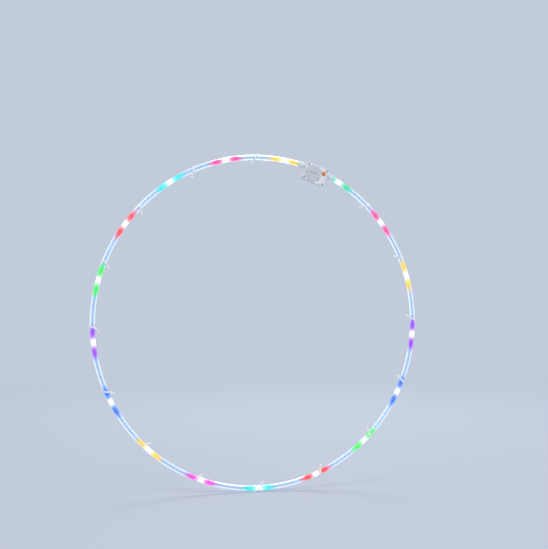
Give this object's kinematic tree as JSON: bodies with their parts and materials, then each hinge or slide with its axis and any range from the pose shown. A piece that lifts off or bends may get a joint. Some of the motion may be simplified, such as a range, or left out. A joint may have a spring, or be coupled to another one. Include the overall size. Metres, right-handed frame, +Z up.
{
  "type": "spoke wheel light",
  "caption": "Closed ring of clear tube holding coloured lamps on a twisted wire pair, tied to wheel spokes with nylon straps, with an in-line coin-cell case and push button.",
  "frame": {"origin": "centre of the ring, on the axis of the wheel that carries it, in the plane of the tube", "axes": "+Y along the wheel axis, from the front of the ring to its back; +Z up; the case is at 21.75 degrees from +Z towards +X"},
  "size_m": [0.5342, 0.0175, 0.5342],
  "materials": {
    "clear_tube": "clear, glossy soft PVC",
    "wire_skin": "satin silver-grey wire insulation",
    "tie_nylon": "natural translucent nylon",
    "shrink_sleeve": "clear shrink sleeve",
    "case_shell": "fine matt moulded plastic",
    "seal_rubber": "matt",
    "screw_steel": "bright",
    "lid_plastic": "fine matt moulded plastic",
    "seal_ring": "smooth silicone",
    "cell_steel": "bright drawn steel",
    "contact_metal": "bright",
    "board_green": "solder resist",
    "chip_black": "matt moulded",
    "plunger_plastic": "matt",
    "button_rubber": "soft silicone",
    "lamp_teal": "clear tinted lens",
    "lamp_pink": "clear tinted lens",
    "lamp_yellow": "clear tinted lens",
    "lamp_purple": "clear tinted lens",
    "lamp_blue": "clear tinted lens",
    "lamp_green": "clear tinted lens",
    "lamp_red": "clear tinted lens",
    "lamp_cyan": "clear tinted lens",
    "lamp_magenta": "clear tinted lens"
  },
  "bodies": {
    "ring": {"light_tube": "clear_tube", "wire_feed": "wire_skin", "wire_return": "wire_skin", "spoke_ties": "tie_nylon", "sleeve_start": "shrink_sleeve", "sleeve_end": "shrink_sleeve", "case_base": "case_shell", "case_cover": "case_shell", "case_gasket": "seal_rubber", "case_screws": "screw_steel", "lid_seal": "seal_ring", "cell_inner": "cell_steel", "cell_outer": "cell_steel", "contact_negative": "contact_metal", "contact_positive": "contact_metal", "circuit_board": "board_green", "controller_chip": "chip_black", "limit_resistors": "chip_black", "switch_body": "chip_black", "led_01": "lamp_teal", "led_02": "lamp_pink", "led_03": "lamp_yellow", "led_04": "lamp_purple", "led_05": "lamp_blue", "led_06": "lamp_green", "led_07": "lamp_red", "led_08": "lamp_cyan", "led_09": "lamp_magenta", "led_10": "lamp_yellow", "led_11": "lamp_blue", "led_12": "lamp_purple", "led_13": "lamp_green", "led_14": "lamp_red", "led_15": "lamp_cyan", "led_16": "lamp_pink", "led_17": "lamp_yellow"},
    "lid": {"battery_lid": "lid_plastic"},
    "button": {"push_button": "button_rubber", "switch_plunger": "plunger_plastic"}
  },
  "joints": [
    {"name": "lid_turn", "type": "hinge", "parent": "ring", "child": "lid", "pos_m": [0.08966, -0.009, 0.23824], "axis": [0, -1, 0], "range_deg": [0, 60]},
    {"name": "button_press", "type": "slide", "parent": "ring", "child": "button", "axis": [0, 1, 0], "range_m": [0, 0.0006], "stiffness_N_per_m": 1500}
  ]
}
